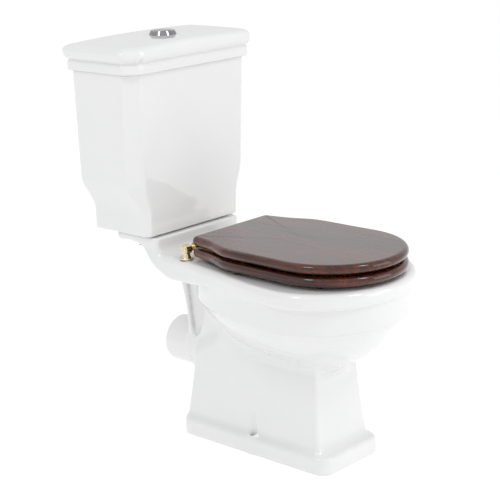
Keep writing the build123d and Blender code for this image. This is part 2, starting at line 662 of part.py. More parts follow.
def ring_straps():
    return both_sides(strap(RING_STRAP_X, RING_Z, -1))


def lid_straps():
    return both_sides(strap(LID_STRAP_X, LID_SEAT_Z, 1))


def strap_screws(x, under_z):
    """Countersunk screws of both straps under one board."""
    low = under_z - STRAP_T
    screws = Part()
    for y in STRAP_SCREW_YS:
        screws += at(x, y, low + 1.2) * Cone(4.0, 1.8, 2.0) + tube_z(SCREW_R, low + 2, under_z + 9, x, y)
    return both_sides(screws)


def hinge_bar():
    return tube_x(BAR_R, -HINGE_X - 6, HINGE_X + 6, HINGE_Y, HINGE_Z)


def hinge_pillars():
    """Turned foot, waist and head of both pillars that hold the bar."""
    foot = at(HINGE_X, HINGE_Y, RIM_Z + 1 + 1.5) * Cylinder(14.5, 3)
    foot = fillet(foot.edges().group_by(Axis.Z)[-1], 1.2)
    cone = at(HINGE_X, HINGE_Y, RIM_Z + 4 + 3.5) * Cone(10.5, 7.5, 7)
    head = tube_x(10.5, HINGE_X - 8, HINGE_X + 8, HINGE_Y, HINGE_Z)
    stem = tube_z(7.5, RIM_Z + 9, HINGE_Z, HINGE_X, HINGE_Y)
    pillar = foot + cone + stem + head
    return both_sides(pillar - tube_x(BAR_R, HINGE_X - 10, HINGE_X + 6, HINGE_Y, HINGE_Z))


def hinge_caps():
    """Small domed caps that close the outer ends of the bar."""
    cap = tube_x(8.2, HINGE_X + 8, HINGE_X + 10, HINGE_Y, HINGE_Z)
    cap = fillet(cap.edges().group_by(Axis.X)[-1], 1.2)
    return both_sides(cap)


def hinge_gaskets():
    return both_sides(tube_z(14.5, RIM_Z, RIM_Z + 1, HINGE_X, HINGE_Y, 3.2))


def hinge_studs():
    return both_sides(tube_z(3.0, RIM_Z - 44, RIM_Z + 1, HINGE_X, HINGE_Y))


def hinge_washers():
    return both_sides(tube_z(9.5, RIM_Z - 18, RIM_Z - 16, HINGE_X, HINGE_Y, 3.1))


def hinge_nuts():
    return both_sides(hexagon(15, RIM_Z - 26, RIM_Z - 18, HINGE_X, HINGE_Y, 3.0))


def buffer_pad(x, y, low, high):
    """Moulded rubber foot, wider where it is fixed to the board above it."""
    return at(x, y, (low + high) / 2) * Cone(6.5, 8.0, high - low)


def ring_buffers():
    pads = Part()
    for x, y in RING_BUFFERS:
        pads += both_sides(buffer_pad(x, y, RIM_Z + GAP, RING_Z))
    return pads


def lid_buffers():
    pads = Part()
    for x, y in LID_BUFFERS:
        pads += both_sides(buffer_pad(x, y, RING_Z + RING_T + GAP, LID_SEAT_Z))
    return pads


# ---- write one file for each piece --------------------------------------------------------
PIECES = {
    "cistern_tank": cistern_tank,
    "cistern_lid": cistern_lid,
    "button_bezel": button_bezel,
    "bezel_nut": sleeve_nut,
    "half_flush_button": lambda: half_button(-1),
    "full_flush_button": lambda: half_button(1),
    "half_flush_rod": lambda: button_rod(-1),
    "full_flush_rod": lambda: button_rod(1),
    "half_flush_spring": lambda: button_spring(-1),
    "full_flush_spring": lambda: button_spring(1),
    "flush_valve_body": flush_valve_body,
    "flush_valve_back_nut": valve_back_nut,
    "flush_valve_washer": valve_washer,
    "flush_lift_tube": lift_tube,
    "flush_lift_seal": lift_seal,
    "fill_valve_body": fill_valve_body,
    "fill_valve_washer": fill_valve_washer,
    "fill_valve_back_nut": fill_valve_nut,
    "float_lever": float_lever,
    "float_cup": float_cup,
    "coupling_plate": coupling_plate,
    "doughnut_gasket": doughnut_gasket,
    "cistern_bolts": cistern_bolts,
    "cistern_bolt_seals": bolt_seals,
    "cistern_bolt_washers": bolt_washers,
    "cistern_wing_nuts": cistern_wing_nuts,
    "seat_ring": seat_ring,
    "seat_lid": seat_lid,
    "ring_hinge_straps": ring_straps,
    "lid_hinge_straps": lid_straps,
    "ring_strap_screws": lambda: strap_screws(RING_STRAP_X, RING_Z),
    "lid_strap_screws": lambda: strap_screws(LID_STRAP_X, LID_SEAT_Z),
    "ring_buffers": ring_buffers,
    "lid_buffers": lid_buffers,
    "hinge_bar": hinge_bar,
    "hinge_pillars": hinge_pillars,
    "hinge_caps": hinge_caps,
    "hinge_gaskets": hinge_gaskets,
    "hinge_studs": hinge_studs,
    "hinge_stud_washers": hinge_washers,
    "hinge_stud_nuts": hinge_nuts,
}


def main():
    os.makedirs("parts", exist_ok=True)
    for name, piece in pan_pieces().items():
        export_step(solids_of(piece), f"parts/{name}.step")
    for name, make in PIECES.items():
        export_step(solids_of(make()), f"parts/{name}.step")


main()
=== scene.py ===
import json
from math import cos, pi, radians, sin, sqrt, tau

import bpy
import numpy as np
from mathutils import Matrix, Vector


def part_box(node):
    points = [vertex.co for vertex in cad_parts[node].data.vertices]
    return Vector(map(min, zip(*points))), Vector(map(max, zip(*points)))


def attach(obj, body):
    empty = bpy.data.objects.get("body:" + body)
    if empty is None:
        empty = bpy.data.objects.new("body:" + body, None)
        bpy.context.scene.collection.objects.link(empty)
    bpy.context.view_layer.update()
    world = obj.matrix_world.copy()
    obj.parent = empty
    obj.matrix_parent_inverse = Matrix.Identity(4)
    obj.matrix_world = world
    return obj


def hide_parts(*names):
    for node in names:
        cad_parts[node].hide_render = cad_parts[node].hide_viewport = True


# Close coupled toilet. Lengths in the modelling functions are millimetres in the CAD frame, and
# MM turns them into metres where a mesh is made.
MM = 0.001
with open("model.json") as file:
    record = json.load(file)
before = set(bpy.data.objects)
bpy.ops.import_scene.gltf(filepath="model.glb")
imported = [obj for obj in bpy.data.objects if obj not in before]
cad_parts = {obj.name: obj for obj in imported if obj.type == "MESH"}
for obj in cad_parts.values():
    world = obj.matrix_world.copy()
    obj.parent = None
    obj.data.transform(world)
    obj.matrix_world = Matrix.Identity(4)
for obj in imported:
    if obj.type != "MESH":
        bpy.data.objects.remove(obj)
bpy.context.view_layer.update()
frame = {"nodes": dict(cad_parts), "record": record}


def span(node, axis):
    """Lowest and highest coordinate of a CAD node along one axis, in millimetres."""
    low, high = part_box(node)
    return low[axis] / MM, high[axis] / MM


X, Y, Z = 0, 1, 2

# ---- places taken from the frame ----------------------------------------------------------
RIM_HALF = span("pan_rim", X)[1]
FRONT_Y = span("pan_rim", Y)[0]
SHELF_BACK_Y = span("pan_rim", Y)[1]
SHELF_Z = span("pan_rim", Z)[1]
PLINTH_HALF = span("pan_foot", X)[1]
PLINTH_FRONT_Y, PLINTH_BACK_Y = span("pan_foot", Y)
OUTLET_END_Y = span("pan_outlet", Y)[1]
OUTLET_Z = sum(span("pan_outlet", Z)) / 2
TANK_HALF = span("cistern_tank", X)[1]
TANK_BACK_Y = span("cistern_tank", Y)[1]
TANK_FRONT_Y = span("cistern_tank", Y)[0]
TANK_Z, TANK_TOP_Z = span("cistern_tank", Z)
LID_HALF = span("cistern_lid", X)[1]
LID_FRONT_Y, LID_BACK_Y = span("cistern_lid", Y)
LID_LIP_Z, LID_TOP_Z = span("cistern_lid", Z)
RING_Z, RING_TOP_Z = span("seat_ring", Z)
COVER_Z, COVER_TOP_Z = span("seat_lid", Z)
SEAT_FRONT_Y, SEAT_BACK_Y = span("seat_lid", Y)
SEAT_HALF = span("seat_lid", X)[1]
HINGE_Y = sum(span("hinge_bar", Y)) / 2
HINGE_X = 113.0          # pillars and their studs
BUTTON_Y = sum(span("button_bezel", Y)) / 2
BOLT_X = 84.0            # close coupling bolts
VALVE_Y = sum(span("flush_valve_back_nut", Y)) / 2

RIM_Z = 406.0            # top of the rim and of the deck
RIM_MID_Y = -198.0       # widest line of the rim
DECK_HALF = 131.0
DECK_FRONT_Y = 110.0     # where the rim's sides have become the deck's
ROLL_Z = 370.0           # bottom of the rolled rim
ROLL_R = 13.5
BAND_HALF = 178.0        # plain band under the roll
BAND_FRONT_Y = -352.0
BAND_BACK_Y = 134.0
BAND_Z = 321.0
BELLY_SHARE = 0.34       # place of the bowl's widest line outside, as a share of its length
BASIN_SHARE = 0.42       # and inside
DUCT_Z = 370.0           # underside of the flushway duct and of the well boss
WELL_R = 40.0            # flush inlet in the shelf
MOUTH = (122, -308, 28)  # half width, front and back of the opening inside the rim
CHANNEL = (148, -334, 50)
BOLT_HOLE_R = 5.5
STUD_HOLE_R = 5.0
NUT_HOLE_R = 10.5        # room for the nut under each hinge stud
FIXING_X = 82.0          # floor fixing holes
FIXING_Y = -48.0
FIXING_HOLE_R = 4.8
SPIGOT_R = 51.0
SPIGOT_BORE_R = 42.0
COLLAR_R = 54.0          # root of the outlet horn, up to COLLAR_END_Y
COLLAR_END_Y = 167.0
TRAP_R = 33.0            # trap way, through three points of the plane x = 0 given as (y, z)
TRAP_LOW = (-45, 184)
TRAP_WEIR = (34, 226)
TRAP_END = (110, 180)
TANK_WALL = 9.0
OGEE_LOW_Z = 476.0       # the cistern widens between these heights
OGEE_HIGH_Z = 572.0
TANK_BASE_HALF = TANK_HALF - 39.5
SEAT_MID_Y = -200.0      # widest line of the seat
SEAT_BACK_HALF = 117.0
LID_CANT = 31.0          # corner cut of the cistern lid
LID_LIP_IN = 25.0        # inset of the lip that hangs inside the tank
ROLL_MID_Z = 832.0       # widest line of the cistern lid
EDGE_Z = 846.0           # where its roll meets the crown
CROWN_R = 3800.0
BODY = "pan_and_cistern"


# ---- mesh helpers -------------------------------------------------------------------------
def add_mesh(name, points, faces, material, body, nodes=(), normals=None):
    """A smooth mesh piece from millimetre points, riding on a body."""
    mesh = bpy.data.meshes.new(name)
    mesh.from_pydata((np.asarray(points) * MM).tolist(), [], [list(f) for f in faces])
    mesh.materials.append(material)
    mesh.polygons.foreach_set("use_smooth", [True] * len(mesh.polygons))
    mesh.update()
    piece = bpy.data.objects.new(name, mesh)
    bpy.context.scene.collection.objects.link(piece)
    if normals is not None:
        mesh.normals_split_custom_set_from_vertices(normals.tolist())
    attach(piece, body)
    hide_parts(*nodes)
    return piece


def loft(rings, close_low=True, close_high=True, closed=False):
    """Points and quads that join rings of equal length, in order; ends close on a fan point."""
    count = len(rings[0])
    points = np.concatenate(rings)
    i = np.arange(count)
    j = np.roll(i, -1)
    faces = []
    pairs = [(k, k + 1) for k in range(len(rings) - 1)]
    if closed:
        pairs.append((len(rings) - 1, 0))
    for a, b in pairs:
        faces += np.stack([a * count + i, a * count + j, b * count + j, b * count + i], 1).tolist()
    if closed:
        return points, faces
    for ring, wanted, order in ((0, close_low, -1), (len(rings) - 1, close_high, 1)):
        if wanted:
            points = np.concatenate([points, rings[ring].mean(0)[None]])
            hub = len(points) - 1
            edge = np.stack([ring * count + i, ring * count + j], 1)[:, ::order]
            faces += [(a, b, hub) for a, b in edge.tolist()]
    return points, faces


def arc(centre, radius, start, end, steps):
    """Points of an arc in a profile plane, angles in degrees."""
    angles = np.radians(np.linspace(start, end, steps + 1))
    return [(centre[0] + radius * cos(a), centre[1] + radius * sin(a)) for a in angles]


def hermite(x, xs, ys):
    """Smooth curve through points, with slopes from their neighbours."""
    xs, ys = np.asarray(xs, float), np.asarray(ys, float)
    slopes = np.gradient(ys, xs)
    x = np.clip(x, xs[0], xs[-1])
    k = np.clip(np.searchsorted(xs, x) - 1, 0, len(xs) - 2)
    width = xs[k + 1] - xs[k]
    t = (x - xs[k]) / width
    return (
        (1 + 2 * t) * (1 - t) ** 2 * ys[k] + t * (1 - t) ** 2 * width * slopes[k]
        + t * t * (3 - 2 * t) * ys[k + 1] + t * t * (t - 1) * width * slopes[k + 1]
    )


def smooth_step(t):
    t = np.clip(t, 0, 1)
    return t * t * (3 - 2 * t)


# ---- materials ----------------------------------------------------------------------------
def new_material(name, **sockets):
    material = bpy.data.materials.new(name)
    material.use_nodes = True
    shader = material.node_tree.nodes["Principled BSDF"]
    for key, value in sockets.items():
        shader.inputs[key.replace("_", " ")].default_value = value
    return material, material.node_tree, shader


def node(tree, kind, **values):
    made = tree.nodes.new(kind)
    for key, value in values.items():
        if key in made.inputs:
            made.inputs[key].default_value = value
        else:
            setattr(made, key, value)
    return made


def place(tree, stretch=(1, 1, 1)):
    """Object coordinates, stretched."""
    coordinates = node(tree, "ShaderNodeTexCoord")
    mapping = node(tree, "ShaderNodeMapping")
    mapping.inputs["Scale"].default_value = stretch
    tree.links.new(coordinates.outputs["Object"], mapping.inputs["Vector"])
    return mapping.outputs["Vector"]


def noise(tree, where, scale, detail=3.0, distortion=0.0):
    made = node(tree, "ShaderNodeTexNoise", Scale=scale, Detail=detail, Distortion=distortion)
    tree.links.new(where, made.inputs["Vector"])
    return made.outputs["Fac"]


def ramp(tree, factor, stops):
    made = node(tree, "ShaderNodeValToRGB")
    band = made.color_ramp
    while len(band.elements) < len(stops):
        band.elements.new(0.5)
    for element, (position, colour) in zip(band.elements, stops):
        element.position = position
        element.color = (*colour, 1.0)
    tree.links.new(factor, made.inputs["Fac"])
    return made.outputs["Color"]


def spread(tree, factor, low, high, start=0.3, end=0.7):
    made = node(tree, "ShaderNodeMapRange")
    made.inputs["From Min"].default_value = start
    made.inputs["From Max"].default_value = end
    made.inputs["To Min"].default_value = low
    made.inputs["To Max"].default_value = high
    tree.links.new(factor, made.inputs["Value"])
    return made.outputs["Result"]


def add_bump(tree, shader, height, strength, distance):
    made = node(tree, "ShaderNodeBump", Strength=strength, Distance=distance)
    tree.links.new(height, made.inputs["Height"])
    tree.links.new(made.outputs["Normal"], shader.inputs["Normal"])


def speckled(name, low, high, scale, rough, bump=0.0, **sockets):
    """Colour, roughness and relief all varied by one soft noise."""
    material, tree, shader = new_material(name, **sockets)
    where = place(tree)
    grain = noise(tree, where, scale)
    tree.links.new(ramp(tree, grain, [(0.3, low), (0.7, high)]), shader.inputs["Base Color"])
    tree.links.new(spread(tree, grain, *rough), shader.inputs["Roughness"])
    if bump:
        add_bump(tree, shader, noise(tree, where, scale * 3), bump, 0.0006)
    return material


def glaze():
    """White glazed china: a clear skin that pools a little, over a faintly uneven body."""
    material, tree, shader = new_material(
        "glazed_china", Coat_Weight=0.6, Coat_Roughness=0.03, Coat_IOR=1.5, IOR=1.5
    )
    where = place(tree)
    cloud = noise(tree, where, 7.0, 2.0)
    tone = ramp(tree, cloud, [(0.3, (0.785, 0.79, 0.795)), (0.7, (0.815, 0.815, 0.815))])
    tree.links.new(tone, shader.inputs["Base Color"])
    tree.links.new(spread(tree, noise(tree, where, 40.0), 0.07, 0.13), shader.inputs["Roughness"])
    add_bump(tree, shader, noise(tree, where, 22.0, 2.0), 0.10, 0.0012)
    return material


def mahogany():
    """Stained mahogany under lacquer: long streaks, fine dark pores and broad bands along Y."""
    material, tree, shader = new_material(
        "mahogany", Coat_Weight=0.9, Coat_Roughness=0.05, Coat_IOR=1.5, Specular_IOR_Level=0.15
    )
    broad = noise(tree, place(tree, (9.0, 1.1, 9.0)), 1.6, 3.0, 0.8)
    streak = noise(tree, place(tree, (90.0, 3.5, 90.0)), 1.0, 4.0, 0.3)
    pores = noise(tree, place(tree, (420.0, 16.0, 420.0)), 1.0, 2.0)
    base = ramp(tree, broad, [
        (0.30, (0.030, 0.0065, 0.0038)), (0.48, (0.062, 0.0135, 0.0068)), (0.66, (0.105, 0.026, 0.012)),
    ])
    veins = ramp(tree, streak, [(0.32, (0.55, 0.50, 0.48)), (0.62, (1.18, 1.15, 1.12))])
    dots = ramp(tree, pores, [(0.36, (0.35, 0.32, 0.30)), (0.46, (1.0, 1.0, 1.0))])
    colour = base
    for layer in (veins, dots):
        mix = node(tree, "ShaderNodeMix", data_type="RGBA", blend_type="MULTIPLY")
        mix.inputs["Factor"].default_value = 1.0
        tree.links.new(colour, mix.inputs["A"])
        tree.links.new(layer, mix.inputs["B"])
        colour = mix.outputs["Result"]
    tree.links.new(colour, shader.inputs["Base Color"])
    tree.links.new(spread(tree, streak, 0.22, 0.34), shader.inputs["Roughness"])
    add_bump(tree, shader, pores, 0.12, 0.0003)
    return material


def metal(name, low, high, rough, scale=60.0):
    return speckled(name, low, high, scale, rough, 0.02, Metallic=1.0)


GLAZE = glaze()
WOOD = mahogany()
BRASS = metal("hinge_brass", (0.68, 0.57, 0.36), (0.86, 0.77, 0.55), (0.10, 0.20))
FIXING_BRASS = metal("fixing_brass", (0.62, 0.49, 0.26), (0.80, 0.67, 0.40), (0.18, 0.32))
CHROME = metal("chrome", (0.26, 0.26, 0.27), (0.36, 0.36, 0.37), (0.05, 0.12))
STEEL = metal("spring_steel", (0.52, 0.52, 0.53), (0.66, 0.66, 0.67), (0.25, 0.40))
PLATE = metal("plated_steel", (0.56, 0.56, 0.54), (0.70, 0.70, 0.68), (0.30, 0.45))
WHITE_PLASTIC = speckled("white_plastic", (0.74, 0.75, 0.76), (0.80, 0.80, 0.80), 90, (0.30, 0.42), 0.05)
BLUE_PLASTIC = speckled("valve_plastic", (0.36, 0.44, 0.52), (0.44, 0.52, 0.60), 90, (0.35, 0.50), 0.05)
RUBBER = speckled("black_rubber", (0.014, 0.014, 0.015), (0.030, 0.029, 0.028), 160, (0.60, 0.80), 0.20)
BUFFER = speckled("buffer_rubber", (0.020, 0.013, 0.010), (0.040, 0.026, 0.020), 160, (0.50, 0.70), 0.20)

SLOT_MATERIALS = {
    "vitreous_china": GLAZE,
    "mahogany": WOOD,
    "hinge_brass": BRASS,
    "fixing_brass": FIXING_BRASS,
    "chrome": CHROME,
    "spring_steel": STEEL,
    "white_plastic": WHITE_PLASTIC,
    "valve_plastic": BLUE_PLASTIC,
    "black_rubber": RUBBER,
    "buffer_rubber": BUFFER,
    "plated_steel": PLATE,
}


def dress_frame():
    """Every CAD node takes the material of its slot in the record."""
    for part in frame["record"]["subparts"]:
        piece = frame["nodes"][part["node"]]
        piece.data.materials.clear()
        piece.data.materials.append(SLOT_MATERIALS[part["material_slot"]])


# ---- pan: one casting as an implicit solid ------------------------------------------------
def smooth_min(a, b, reach):
    """Union of two fields with a fillet that starts about reach away."""
    h = np.maximum(reach - np.abs(a - b), 0) / reach
    return np.minimum(a, b) - h * h * reach / 4


def smooth_max(a, b, reach):
    return -smooth_min(-a, -b, reach)


def rounded(plan, height, radius):
    """A slab from a plan distance and a height distance, with its edges rounded."""
    u, v = plan + radius, height + radius
    return np.minimum(np.maximum(u, v), 0) + np.hypot(np.maximum(u, 0), np.maximum(v, 0)) - radius


def round_box(x, y, half_x, low_y, high_y, corner):
    """Plan distance to a rectangle with round corners, symmetric in x."""
    middle, half_y = (low_y + high_y) / 2, (high_y - low_y) / 2
    u, v = np.abs(x) - half_x + corner, np.abs(y - middle) - half_y + corner
    return np.minimum(np.maximum(u, v), 0) + np.hypot(np.maximum(u, 0), np.maximum(v, 0)) - corner


def oval(x, y, half, front, back, share):
    """Plan distance to an egg: a half ellipse forward of its widest line and a longer one behind."""
    middle = front + share * (back - front)
    depth = np.where(y < middle, middle - front, back - middle)
    u, v = x / half, (y - middle) / depth
    size = np.sqrt(u * u + v * v) + 1e-6
    steep = np.sqrt((u / half) ** 2 + (v / depth) ** 2) + 1e-6
    return (size - 1) * size / steep


def rim_outline():
    """Right half of the rim and deck plan, from the nose round to the back of the shelf."""
    middle, deck, corner = RIM_MID_Y, DECK_HALF, 9.0
    t = np.linspace(0, pi / 2, 60)
    nose = np.stack([RIM_HALF * np.sin(t), middle + (FRONT_Y - middle) * np.cos(t)], 1)
    y = np.linspace(middle, DECK_FRONT_Y, 80)[1:]
    side = np.stack([hermite(y, [middle, -140, -85, -25, 30, 75, DECK_FRONT_Y], [
        RIM_HALF, RIM_HALF - 5, RIM_HALF - 16, RIM_HALF - 31, deck + 14, deck + 3, deck,
    ]), y], 1)
    inner_x, inner_y = deck - 4 - corner, SHELF_BACK_Y - corner
    flank = np.linspace((deck, DECK_FRONT_Y), (deck - 4, inner_y), 30)[1:]
    t = np.linspace(0, pi / 2, 8)[1:]
    turn = np.stack([inner_x + corner * np.cos(t), inner_y + corner * np.sin(t)], 1)
    back = np.array([[0.0, SHELF_BACK_Y]])
    return np.concatenate([nose, side, flank, turn, back])


class PlanField:
    """Signed distance to an outline symmetric in x, held on a lattice and read between its points."""

    def __init__(self, outline, step=1.5, margin=24.0):
        low = outline.min(0) - margin
        size = np.ceil((outline.max(0) + margin - low) / step).astype(int) + 1
        self.low, self.step = np.array([-step, low[1]]), step
        self.size = (int((outline[:, 0].max() + margin) / step) + 3, size[1])
        xs = self.low[0] + step * np.arange(self.size[0])
        ys = self.low[1] + step * np.arange(self.size[1])
        x, y = np.meshgrid(xs, ys, indexing="ij")
        distance = np.full(x.shape, 1e9)
        inside = np.zeros(x.shape, bool)
        for (ax, ay), (bx, by) in zip(outline, outline[1:]):
            dx, dy = bx - ax, by - ay
            t = np.clip(((x - ax) * dx + (y - ay) * dy) / (dx * dx + dy * dy), 0, 1)
            distance = np.minimum(distance, np.hypot(x - ax - t * dx, y - ay - t * dy))
            crossed = ((ay > y) != (by > y)) & (x < ax + (y - ay) * dx / (dy if dy else 1e-9))
            inside ^= crossed
        self.table = np.where(inside, -distance, distance).astype(np.float32)

    def __call__(self, x, y):
        u = (np.abs(x) - self.low[0]) / self.step
        v = (y - self.low[1]) / self.step
        i = np.clip(u.astype(int), 0, self.size[0] - 2)
        j = np.clip(v.astype(int), 0, self.size[1] - 2)
        s, t = np.clip(u - i, 0, 1), np.clip(v - j, 0, 1)
        f = self.table
        near = f[i, j] * (1 - s) + f[i + 1, j] * s
        far = f[i, j + 1] * (1 - s) + f[i + 1, j + 1] * s
        return near * (1 - t) + far * t


RIM_PLAN = PlanField(rim_outline())


def along(z, table, column):
    """Value of one column of a table keyed by height."""
    rows = sorted(table)
    return hermite(z, [r[0] for r in rows], [r[column] for r in rows])


# height, half width, front and back of the bowl's outside
BELLY = [
    (330, 176, -350, 133), (322, 175, -348, 132), (308, 168, -339, 126),
    (289, 156, -323, 110), (264, 135, -304, 88), (246, 112, -287, 70),
    (231, 90, -269, 52), (218, 70, -247, 30), (200, 48, -215, 5),
]
# the same of its inside
BASIN = [
    (378, 148, -332, 46), (330, 140, -312, 34), (290, 118, -284, 28), (250, 82, -234, 20),
    (215, 49, -178, 12), (185, 39, -140, 6), (150, 37, -114, 0),
]
# the same of the pedestal
COLUMN = [
    (240, 67, -207, 127), (190, 68.5, -209, 129), (145, 71, -212, 133), (100, 74.5, -216, 139),
    (55, 79, -221, 145),
]
# height and rear face of the trap body under the deck
TRAP_BACK = [(180, 172), (230, 173), (262, 174), (295, 180), (323, 187), (345, 193)]
# height, middle and half length along Y of the recess in its sides
RECESS_MIDDLE = [(200, 148), (231, 141), (265, 138), (320, 138), (345, 138)]
RECESS_HALF = [(203, -2), (212, 7), (231, 16.5), (265, 24.5), (320, 30.5), (345, 32)]
# length along Y and underside of the neck
NECK = [(120, 338), (145, 359), (168, 375), (188, 394), (202, 408), (216, 418), (232, 422), (300, 422)]


def bowl_field(x, y, z):
    """Rolled rim and deck, plain band, belly."""
    plan = RIM_PLAN(x, y)
    low = ROLL_Z - 14 * smooth_step((y + 60) / 170)
    roll = rounded(plan, np.maximum(z - RIM_Z, low - z), ROLL_R)
    band_plan = oval(x, y, BAND_HALF, BAND_FRONT_Y, BAND_BACK_Y, BELLY_SHARE)
    band = rounded(band_plan, np.maximum(z - (ROLL_Z + 10), BAND_Z - z), 2.0)
    half, front, back = (along(z, BELLY, column) for column in (1, 2, 3))
    lean = 1 / np.sqrt(1 + ((along(z + 2, BELLY, 1) - along(z - 2, BELLY, 1)) / 4) ** 2)
    belly_plan = oval(x, y, half, front, back, BELLY_SHARE)
    belly = np.maximum(belly_plan * lean, np.maximum(z - (BAND_Z + 5), 196 - z))
    return smooth_min(smooth_min(roll, band, 3.0), belly, 4.0)


def shelf_field(x, y, z):
    """Raised shelf behind the deck that carries the cistern, and the duct and well boss under it."""
    shelf = rounded(round_box(x, y, 128.5, 168, SHELF_BACK_Y, 12), np.maximum(z - SHELF_Z, 350 - z), 5.0)
    duct = rounded(round_box(x, y, 40, 80, VALVE_Y, 8), np.maximum(z - (RIM_Z - 8), DUCT_Z - z), 5.0)
    boss_plan = np.hypot(x, y - VALVE_Y) - (WELL_R + 6)
    boss = rounded(boss_plan, np.maximum(z - (SHELF_Z - 10), DUCT_Z - z), 6.0)
    return shelf, np.minimum(duct, boss)


def foot_field(x, y, z):
    """Tapered column on its plinth, with a boss round each floor fixing."""
    half, front, back = (along(z, COLUMN, column) for column in (1, 2, 3))
    column = round_box(x, y, half, front, back, 8.0)
    shoulder = (z - 240 + 0.54 * np.maximum(y - 40, 0)) * 0.88
    column = smooth_max(column, shoulder, 24.0)
    plinth_plan = round_box(x, y, PLINTH_HALF, PLINTH_FRONT_Y, PLINTH_BACK_Y, 27)
    plinth = rounded(plinth_plan, z - 36, 8.0)
    boss = rounded(np.hypot(np.abs(x) - (FIXING_X - 2), y - FIXING_Y) - 12, z - 45, 7.0)
    return smooth_min(smooth_min(column, plinth, 22.0), boss, 9.0)


def trap_field(x, y, z):
    """Trap body between bowl and outlet, with the teardrop recess in each side."""
    half = 55 - 9 * smooth_step((y - 100) / 70)
    rear = hermite(z, *zip(*TRAP_BACK))
    body = smooth_max(np.abs(x) - half, np.maximum(y - rear, 30 - y), 12.0)
    body = np.maximum(body, np.maximum(z - 362, 170 - z))
    across = np.abs(y - hermite(z, *zip(*RECESS_MIDDLE))) - hermite(z, *zip(*RECESS_HALF))
    recess = np.maximum(np.maximum(across * 0.92, 36 - np.abs(x)), z - 352)
    return smooth_max(body, -recess, 6.0)


def horn_field(x, y, z):
    across = np.hypot(x, z - OUTLET_Z)
    spigot = rounded(across - SPIGOT_R, np.maximum(y - OUTLET_END_Y, 60 - y), 5.0)
    collar = rounded(across - COLLAR_R, np.maximum(y - COLLAR_END_Y, 60 - y), 2.5)
    return smooth_min(spigot, collar, 3.0)


def capsule(x, y, z, a, b, radius):
    """Distance to a round bar between two points of the plane x = 0, given as (y, z)."""
    dy, dz = b[0] - a[0], b[1] - a[1]
    t = np.clip(((y - a[0]) * dy + (z - a[1]) * dz) / (dy * dy + dz * dz), 0, 1)
    return np.sqrt(x * x + (y - a[0] - t * dy) ** 2 + (z - a[1] - t * dz) ** 2) - radius


def upright_hole(x, y, z, place_x, place_y, radius, low, high):
    return np.maximum(np.hypot(np.abs(x) - place_x, y - place_y) - radius, np.maximum(z - high, low - z))


def hollow_field(x, y, z):
    """Everything open in the pan, negative where there is air."""
    mouth = np.maximum(oval(x, y, *MOUTH, BASIN_SHARE), 390 - z)
    channel = np.maximum(oval(x, y, *CHANNEL, BASIN_SHARE), np.maximum(z - 391, 368 - z))
    half, front, back = (along(z, BASIN, column) for column in (1, 2, 3))
    basin_plan = oval(x, y, half, front, back, BASIN_SHARE)
    basin = np.maximum(basin_plan * 0.85, np.maximum(z - 374, 150 - z))
    water_way = smooth_min(smooth_min(mouth, channel, 3.0), basin, 5.0)
    up_leg = capsule(x, y, z, TRAP_LOW, TRAP_WEIR, TRAP_R)
    down_leg = capsule(x, y, z, TRAP_WEIR, TRAP_END, TRAP_R)
    trap = smooth_min(up_leg, down_leg, 8.0)
    bore = np.maximum(np.hypot(x, z - OUTLET_Z) - SPIGOT_BORE_R, 96 - y)
    open_way = smooth_min(smooth_min(water_way, trap, 8.0), bore, 4.0)
    well = upright_hole(x, y, z, 0, VALVE_Y, WELL_R, 382, 460)
    bolts = upright_hole(x, y, z, BOLT_X, VALVE_Y, BOLT_HOLE_R, 395, 460)
    studs = upright_hole(x, y, z, HINGE_X, HINGE_Y, STUD_HOLE_R, 370, 420)
    nuts = upright_hole(x, y, z, HINGE_X, HINGE_Y, NUT_HOLE_R, 340, 390)
    fixing = upright_hole(x, y, z, FIXING_X, FIXING_Y, FIXING_HOLE_R, -9, 80)
    foot = np.maximum(round_box(x, y, 70 - 0.09 * z, -224 + 0.3 * z, 134 - 0.16 * z, 14), z - 128)
    holes = np.minimum.reduce([well, bolts, studs, nuts, fixing])
    return smooth_min(np.minimum(open_way, foot), holes, 2.0)


def pan_field(x, y, z):
    """The whole pan, negative inside the china."""
    shelf, duct = shelf_field(x, y, z)
    upper = smooth_min(bowl_field(x, y, z), shelf, 22.0)
    under = hermite(y, *zip(*NECK))
    upper = smooth_max(upper, np.where(y > 118, (under - z) * 0.8, -60.0), 9.0)
    upper = smooth_min(upper, duct, 10.0)
    body = smooth_min(upper, trap_field(x, y, z), 26.0)
    body = smooth_min(body, horn_field(x, y, z), 12.0)
    body = smooth_min(body, foot_field(x, y, z), 26.0)
    body = smooth_max(body, -hollow_field(x, y, z), 9.0)
    return smooth_max(body, -z, 3.0)


